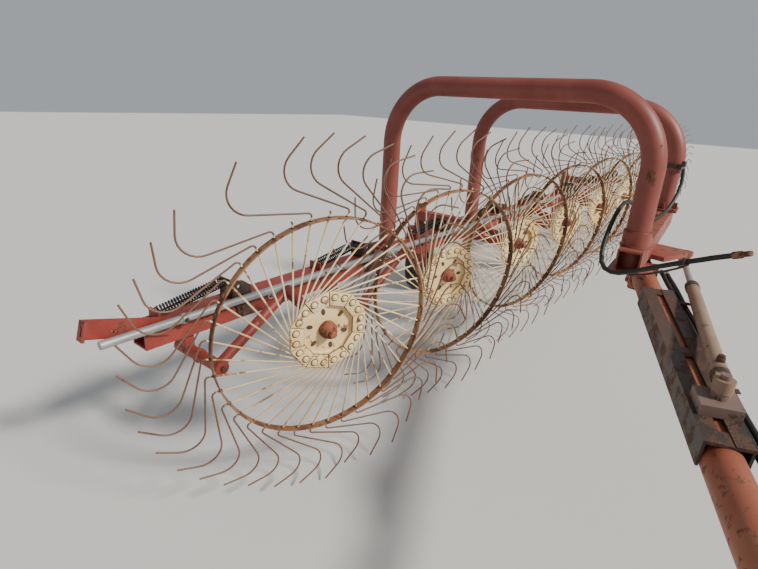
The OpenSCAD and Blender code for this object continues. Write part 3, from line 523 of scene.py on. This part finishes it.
def finger_wheel(k, m, rng):
    """The fingers of wheel k as one piece, and its ring with collars and the clamp plates behind as another."""
    place = wheel_place(k)
    missing = MISSING.get(k, set())
    fingers = []
    for i in range(FINGERS):
        lean = rng.uniform(-1, 1) * FINGER_TILT + FINGER_BEND * rng.random() ** 4 * rng.choice((-1, 1))
        route = finger_route(short=i in missing)
        one = wire([(p.x, p.y, max(0.0, p.length - RING_R) * lean) for p in route], WIRE_R, 2, m["spoke"])
        one.data.materials.append(m["wire"])
        for face in one.data.polygons:
            if face.center.xy.length > RING_R - PAINT_ENDS:
                face.material_index = 1
        one.matrix_world = Matrix.Rotation(math.radians(i * 360 / FINGERS), 4, "Z")
        fingers.append(one)
    reel = settle(join(fingers, "fingers_%d" % k), place, 60)
    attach(reel, "reel_%d" % k)

    inner, edge = RING_R - 0.006, RING_R - 0.0015
    band = turned([(inner, -0.015), (edge, -0.0158), (RING_R, -0.0145), (RING_R, 0.0145), (edge, 0.0158),
                   (inner, 0.015), (inner, -0.015)], 160, m["band"])
    collars = []
    for i in range(FINGERS):
        collar = rod(0.0062, 0.013, (RING_R - 0.003, 0, 0), (0, math.pi / 2, SPOKE_TURN), 8, 0, m["steel"])
        collar.matrix_world = Matrix.Rotation(math.radians(i * 360 / FINGERS), 4, "Z") @ collar.matrix_world
        collars.append(collar)
    back = turned(ring_section(0.1125, 0.160, -0.0095, -0.0035), PLATES, m["cream"])
    band = settle(join([band, back] + collars, "ring_%d" % k), place, 35)
    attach(band, "reel_%d" % k)
    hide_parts("reel_%d" % k)
    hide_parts("reel_%d" % k)


def hub_plate(m):
    """One of the ten clamp plates, with its two domed bolts, each on a dark ring of rust and painted shade."""
    flat = PLATE_R * math.cos(math.pi / PLATES)
    chord = 2 * PLATE_R * math.sin(math.pi / PLATES)
    plate = bar((flat - PLATE_IN, 1, 0.006), ((flat + PLATE_IN) / 2, 0, 0.0068), 0)
    for v in plate.data.vertices:
        wide = chord if v.co.x > 0 else chord * PLATE_IN / flat
        v.co.y = math.copysign(wide / 2 - PLATE_GAP, v.co.y)
    apply_modifier(plate, "BEVEL", width=0.0015, segments=2, limit_method="ANGLE")
    plate.data.materials.append(m["cream"])
    parts = [plate]
    for side in (-1, 1):
        seat = (flat - 0.0205, side * 0.022, 0.0101)
        # The dark ring round each dome's foot is rust plus a painted shadow of the dome.
        parts.append(rod(0.0162, 0.0010, seat, sides=24, bevel=0.0003, material=m["joint"]))
        dome = turned([(0.0122, 0.0), (0.0122, 0.0022), (0.0100, 0.0056), (0.0055, 0.0076), (0.0, 0.0082)],
                      16, m["cream"])
        dome.location = seat
        parts.append(dome)
    return join(parts, "plate")


def hub(k, m):
    """The hub of wheel k: clamp plates on their backing, a dark ring of rust and painted shade, dish with six
    holes that are flat dark discs of painted shade, cap, nut and bearing housing.
    """
    plate = hub_plate(m)
    parts = [copy_of(plate, Matrix.Rotation(math.radians(360 / PLATES * (i + 0.5)), 4, "Z"))
             for i in range(PLATES)]
    bpy.data.objects.remove(plate)
    dish = turned([(BEARING_R, HUB_BACK), (0.104, HUB_BACK), (0.112, -0.0085), (0.112, 0.0035),
                   (DISH_R, 0.0036), (0.1065, 0.0026), (0.1065, -0.0065), (0.101, DISH_FLOOR),
                   (0.036, DISH_FLOOR)], 60, m["cream"])
    # The backing: a dark ring that shows at the plates' inner edge and in their gaps, rust plus painted shade
    # in the step down to the dish.
    parts.append(turned([(DISH_R, 0.0037), (BACKING_R, 0.0033), (BACKING_R, 0.0046), (DISH_R, 0.0046),
                         (DISH_R, 0.0037)], PLATES, m["joint"]))
    # The holes are not cut: flat dark discs on the dish floor paint the shade inside them.
    holes, holes_r = 6, 0.078
    for i in range(holes):
        a = math.radians(360 / holes * i)
        at = (holes_r * math.cos(a), holes_r * math.sin(a), DISH_FLOOR + 0.0004)
        hole = rod(0.0105, 0.0012, at, (0, 0, a), 24, 0, m["joint"])
        hole.scale = (1.35, 0.85, 1)
        parts.append(hole)
    cap = turned([(0.036, DISH_FLOOR), (0.0365, 0.006), (0.034, 0.010), (0.026, 0.0300), (0.0245, 0.0315),
                  (0.016, 0.0320), (0.0140, 0.0330), (0.0140, 0.0500), (0.0125, 0.0515), (0.0, 0.0517)],
                 40, m["cap"])
    nut = rod(0.0150, 0.008, (0, 0, 0.0385), sides=6, bevel=0.001, material=m["cap"])
    housing = turned([(BEARING_R, HUB_BACK), (0.042, -0.0170), (0.042, -0.060), (0.040, -0.062),
                      (0.0177, -0.062), (0.0177, -0.040)], 40, m["red"])
    whole = settle(join(parts + [dish, cap, nut, housing], "hub_face_%d" % k), wheel_place(k), 35)
    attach(whole, "reel_%d" % k)
    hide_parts("hub_%d" % k)


# ---- Beam, springs and lift gear
def spring(m):
    """An open coil spring from its outer loop at the origin along +X."""
    coils, turn_r, wire_r, first, pitch = 22, 0.0120, 0.0038, 0.020, 0.01315
    points = [(0.0, 0.0, 0.0), (0.006, 0.0, turn_r * 0.8), (first - 0.004, 0.0, turn_r * 0.9)]
    for i in range(coils * 10 + 1):
        a = math.tau * i / 10
        points.append((first + pitch * i / 10, turn_r * math.sin(a), turn_r * math.cos(a)))
    end = points[-1][0]
    points += [(end + 0.004, 0.0, turn_r * 0.9), (SPRING_LONG - 0.006, 0.0, turn_r * 0.8),
               (SPRING_LONG, 0.0, 0.0)]
    coil = wire(points, wire_r, 1, m["spring"], "coil")
    eyes = []
    for x in (0.010, SPRING_LONG - 0.010):
        bpy.ops.mesh.primitive_torus_add(major_segments=20, minor_segments=8, major_radius=0.0085,
                                         minor_radius=wire_r, location=(x, 0, 0), rotation=ON_Y)
        eye = bpy.context.object
        eye.data.materials.append(m["spring"])
        eyes.append(eye)
    return join([coil] + eyes, "spring")


def float_springs(m):
    """The two springs of each wheel, one on either side of the beam's middle."""
    slope = -math.asin(SPRING_FALL / SPRING_LONG)
    before_hub, aside, over_beam = 0.370, 0.020, 0.026
    one = spring(m)
    pairs = []
    for k in range(WHEELS):
        for side in (-1, 1):
            at = (k * PITCH - before_hub, BEAM_Y + side * aside, BEAM_TOP + over_beam)
            place = WING @ Matrix.Translation(at) @ Matrix.Rotation(slope, 4, "Y")
            pairs.append(copy_of(one, place))
    bpy.data.objects.remove(one)
    springs = settle(join(pairs, "coil_springs"), angle=60)
    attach(springs, "wing")
    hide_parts("float_springs")


def chains(m):
    """Oval links, every other one on edge, hung under the pipe."""
    bpy.ops.mesh.primitive_torus_add(major_segments=20, minor_segments=8, major_radius=0.01088,
                                     minor_radius=0.003)
    link = bpy.context.object
    link.data.materials.append(m["galvanised"])
    longer, first, step, under_beam_top = 0.00312, 0.150, 0.0205, 0.02613
    for v in link.data.vertices:
        v.co.x += math.copysign(longer, v.co.x)
    links = []
    for k in range(WHEELS):
        for i in range(6):
            at = (k * PITCH + first + i * step, PIPE_Y, BEAM_TOP - under_beam_top)
            place = WING @ Matrix.Translation(at) @ Matrix.Rotation(math.pi / 2 if i % 2 == 0 else 0, 4, "X")
            links.append(copy_of(link, place))
    bpy.data.objects.remove(link)
    chain = settle(join(links, "chain_links"), angle=60)
    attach(chain, "wing")
    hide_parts("lift_chains")


def lift_gear(m):
    """At each wheel: the bracket's bolts, the pipe's collar, and the crank pivot's collars, bolt and nipple."""
    parts = []
    for k in range(WHEELS):
        x, collar, pivot = k * PITCH, k * PITCH - 0.300, k * PITCH - 0.250
        for down in (0.045, 0.075):
            parts.append(bolt((x + 0.001, 0.5394, BEAM_TOP - down), (0, -1, 0), 0.017, 0.008, m["steel"]))
        parts.append(rod(0.0225, 0.022, (collar, PIPE_Y, PIPE_H), ON_X, 32, 0.002, m["galvanised"]))
        parts.append(bolt((collar, 0.494, PIPE_H), (0, -1, 0), 0.013, 0.008, m["steel"]))
        for y, long in ((0.350, 0.012), (0.505, 0.016)):
            parts.append(rod(0.0315, long, (pivot, y, CRANK_H), ON_Y, 36, 0.002, m["red"]))
        parts.append(rod(0.0120, 0.016, (pivot, 0.341, CRANK_H), ON_Y, 6, 0.001, m["steel"]))
        parts.append(rod(0.0035, 0.014, (pivot, 0.420, CRANK_H + 0.032), (0, 0, 0), 10, 0.0006,
                         m["galvanised"]))
    gear = settle(join(parts, "lift_gear_bolts"), WING, 35)
    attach(gear, "wing")


# ---- Arches and inner beam
def weld(radius, bead, at, m, seed=0.0):
    """A rippled weld bead round an upright tube."""
    bpy.ops.mesh.primitive_torus_add(major_segments=110, minor_segments=8, major_radius=radius,
                                     minor_radius=bead, location=at)
    ring = bpy.context.object
    for v in ring.data.vertices:
        a = math.atan2(v.co.y, v.co.x)
        v.co *= 1 + 0.010 * math.sin(a * 55 + seed) + 0.006 * math.sin(a * 23 + 2 * seed)
    ring.data.materials.append(m["weld"])
    return ring


def wing_frame_details(m):
    """Welds of the arches, the loose hose's clamp, fitting and bent rod with its loop, and the plate bolts."""
    steel = m["steel"]
    turn = math.atan2(FAR_FOOT.y - NEAR_FOOT.y, FAR_FOOT.x - NEAR_FOOT.x)
    parts = [weld(0.0535, WELD_R, NEAR_FOOT + up(1.1265), m, 0.4),
             weld(0.0590, WELD_R, NEAR_FOOT + up(1.0615), m, 1.9),
             weld(0.0530, WELD_R, FAR_FOOT + up(HUB_H + 0.5495), m, 2.7),
             weld(0.0415, WELD_R, FAR_FOOT + up(1.0730), m, 3.5)]
    clamp = turned(ring_section(0.0505, 0.0545, -0.014, 0.014), 48, steel)
    clamp.location = FAR_FOOT + up(CLAMP_H)
    parts.append(clamp)
    start = Vector(LOOSE_HOSE[0])
    out = start - FAR_FOOT
    out.z = 0
    out.normalize()
    parts.append(bar((0.030, 0.030, 0.028), FAR_FOOT + out * 0.066 + up(CLAMP_H), 0.003, steel))
    parts[-1].rotation_euler = (0, 0, math.atan2(out.y, out.x))
    parts.append(rod(0.0135, 0.034, start + up(0.013), sides=6, bevel=0.0015, material=steel))
    parts.append(rod(0.0120, 0.026, start - up(0.010), sides=24, bevel=0.0015, material=m["galvanised"]))
    parts.append(wire(HOSE_HOLDER, 0.0045, 3, steel, smooth=True))
    loop = turned(ring_section(0.0120, 0.0165, -0.005, 0.005), 28, steel)
    way = (Vector(LOOSE_HOSE[LOOP_AT + 1]) - Vector(LOOSE_HOSE[LOOP_AT - 1])).normalized()
    loop.matrix_world = Matrix.Translation(LOOSE_HOSE[LOOP_AT]) @ toward(way)
    parts.append(loop)
    for u in (-0.070, 0.080):
        for v in (-0.062, 0.062):
            at = NEAR_FOOT + Matrix.Rotation(turn, 4, "Z") @ Vector((u, v, 0.0)) + up(0.950)
            parts.append(bolt(at, (0, 0, -1), 0.022, 0.011, steel))
    details = settle(join(parts, "wing_frame_details"), WING, 40)
    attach(details, "wing")


# ---- Tongue, cylinder and jack
def tongue_details(m):
    """Welds, two hose clips on the tube, and the smooth hoses in place of the faceted ones."""
    across = Matrix.Rotation(math.pi / 2, 4, "Y")
    parts = []
    for x, r in ((0.152, 0.0555), (3.398, 0.0560)):
        ring = weld(r, 0.0045, (0, 0, 0), m, x)
        ring.matrix_world = Matrix.Translation((x, 0, 0)) @ across
        parts.append(ring)
    for x in (1.900, 2.500):
        band = turned(ring_section(0.0541, 0.0563, -0.010, 0.010), 48, m["steel"])
        band.matrix_world = Matrix.Translation((x, 0, 0)) @ across
        parts += [band, bar((0.026, 0.063, 0.004), (x, 0.0805, 0.0257), 0.0008, m["steel"]),
                  bar((0.026, 0.051, 0.004), (x, 0.0855, 0.0543), 0.0008, m["steel"])]
        for y in (0.0605, 0.1100):
            parts.append(bar((0.026, 0.003, 0.030), (x, y, 0.040), 0.0008, m["steel"]))
    details = settle(join(parts, "tongue_details"), TONGUE, 40)
    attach(details, "tongue")
    hoses = []
    start, step, beside, apart, above = 0.160, 0.031, 0.0733, 0.023, 0.040
    for side in (0, 1):
        route = []
        for i in range(81):
            x = start + step * i
            sway = 0.002 * math.sin(math.radians(1000 * x + side * 90))
            route.append((x, beside + side * apart, above + sway))
        hoses.append(wire(route, HOSE_R, 4, m["rubber"], "hose"))
        for x, (_, y, z) in ((0.1615, route[0]), (2.6385, route[-1])):
            hoses.append(rod(0.0125, 0.030, (x, y, z), ON_X, 24, 0.002, m["galvanised"]))
    run = settle(join(hoses, "tongue_hoses"), TONGUE, 60)
    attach(run, "tongue")
    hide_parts("hose_run")


def jack_details(m):
    """Crank, collar and pin of the parking jack."""
    x, y, z = JACK_X * math.cos(TONGUE_FALL), 0.114, -JACK_X * math.sin(TONGUE_FALL)
    arm = x + 0.128
    parts = [rod(0.0390, 0.012, (x, y, z + 0.306), material=m["steel"]),
             rod(0.0390, 0.010, (x, y, z - 0.2155), material=m["steel"]),
             rod(0.0085, 0.050, (x, y, z + 0.335), material=m["galvanised"]),
             bar((0.150, 0.022, 0.006), (x + 0.062, y, z + 0.361), 0.0015, m["steel"]),
             rod(0.0065, 0.085, (arm, y, z + 0.403), material=m["galvanised"]),
             rod(0.0120, 0.070, (arm, y, z + 0.408), bevel=0.004, material=m["rubber"]),
             rod(0.0070, 0.110, (x, y, z - 0.170), ON_X, 20, 0.001, m["galvanised"])]
    jack = settle(join(parts, "jack_crank"), LEVEL, 40)
    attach(jack, "tongue")


def cylinder_details(m):
    """Gland, end cap and port of the barrel."""
    way = -Vector(joints["rod_slide"]["axis"])
    place = Matrix.Translation(ANCHOR) @ Matrix.Rotation(math.atan2(way.y, way.x), 4, "Z")
    parts = [rod(radius, long, (x, 0, 0), ON_X, 40, bevel, m[finish]) for radius, long, x, bevel, finish in (
        (0.0285, 0.052, -0.913, 0.002, "steel"), (0.0270, 0.014, -0.878, 0.002, "tan"),
        (0.0275, 0.030, -0.052, 0.003, "steel"), (0.0270, 0.010, -0.080, 0.002, "tan"))]
    parts.append(rod(0.0125, 0.016, (-0.110, 0, 0.029), sides=20, bevel=0.001, material=m["steel"]))
    parts.append(rod(0.0105, 0.010, (-0.110, 0, 0.040), sides=6, bevel=0.001, material=m["steel"]))
    cylinder = settle(join(parts, "barrel_details"), place, 40)
    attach(cylinder, "barrel")


# ---- Carrying wheels
def tyre_profile():
    """Half width outline of the ribbed tyre, from its bead over the tread to the other bead."""
    side = [(0.190, 0.062), (0.196, 0.071), (0.212, 0.0785), (0.236, 0.0800), (0.256, 0.0770), (0.264, 0.0735),
            (0.2665, 0.0700)]
    tread = []
    for middle, top in ((0.056, 0.2790), (0.028, 0.2790), (0.0, 0.2798)):
        tread += [(top, middle + 0.0095), (top, middle - 0.0095)]
        if middle:
            tread += [(0.2720, middle - 0.0115), (0.2720, middle - 0.0165)]
    half = side + [(0.2760, 0.0685)] + tread[:-1]
    return half + [(r, -z) for r, z in reversed(half)]


def carrying_wheel(i, m):
    """Tyre, rim, hub, five bolts and valve of carrying wheel i."""
    joint = joints["wheel_roll_%d" % i]
    place = Matrix.Translation(Vector(joint["pos_m"])) @ toward(joint["axis"])
    parts = [turned(tyre_profile(), 96, m["tyre"], "tyre"), turned(RIM, 72, m["cream"], "rim"),
             turned(WHEEL_HUB, 40, m["red"], "hub")]
    for n in range(5):
        a = math.tau * n / 5
        at = (0.049 * math.cos(a), 0.049 * math.sin(a), 0.0305)
        parts.append(bolt(at, (0, 0, 1), 0.017, 0.010, m["galvanised"]))
    parts.append(rod(0.0045, 0.024, (0.150, 0, 0.030), (0, math.radians(-25), 0), 12, 0.001, m["rubber"]))
    wheel = settle(join(parts, "carrying_wheel_%d" % i), place, 35)
    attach(wheel, "wheel_%d" % i)
    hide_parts("caster_wheel_%d" % i)


# ---- Build
camera_and_light()
hose = loose_hose()
materials = make_materials()
hose.data.materials.append(materials["rubber"])
rng = random.Random(7)
count = WHEELS
for k in range(1, count + 1):
    finger_wheel(k, materials, rng)
    hub(k, materials)
float_springs(materials)
chains(materials)
lift_gear(materials)
wing_frame_details(materials)
tongue_details(materials)
jack_details(materials)
cylinder_details(materials)
for i in (1, 2):
    carrying_wheel(i, materials)

FINISH_OF = {
    "tongue_tube": "tongue", "tongue_rails": "steel", "hitch": "steel", "pivot_pin": "steel",
    "jack_body": "steel", "jack_leg": "galvanised", "barrel": "tan", "rod": "bright", "anchor_block": "dusty",
    "inner_beam": "frame", "arch_near": "arch", "arch_far": "arch", "rake_beam": "red", "end_bar": "red",
    "crank_arms": "red", "spring_brackets": "steel", "lift_pipe": "galvanised", "hose_coupler": "coupler",
    "caster_arms": "red", "caster_fork_1": "red", "caster_fork_2": "red",
}
for name, finish in FINISH_OF.items():
    node = nodes[name]
    node.data.materials.clear()
    node.data.materials.append(materials[finish])
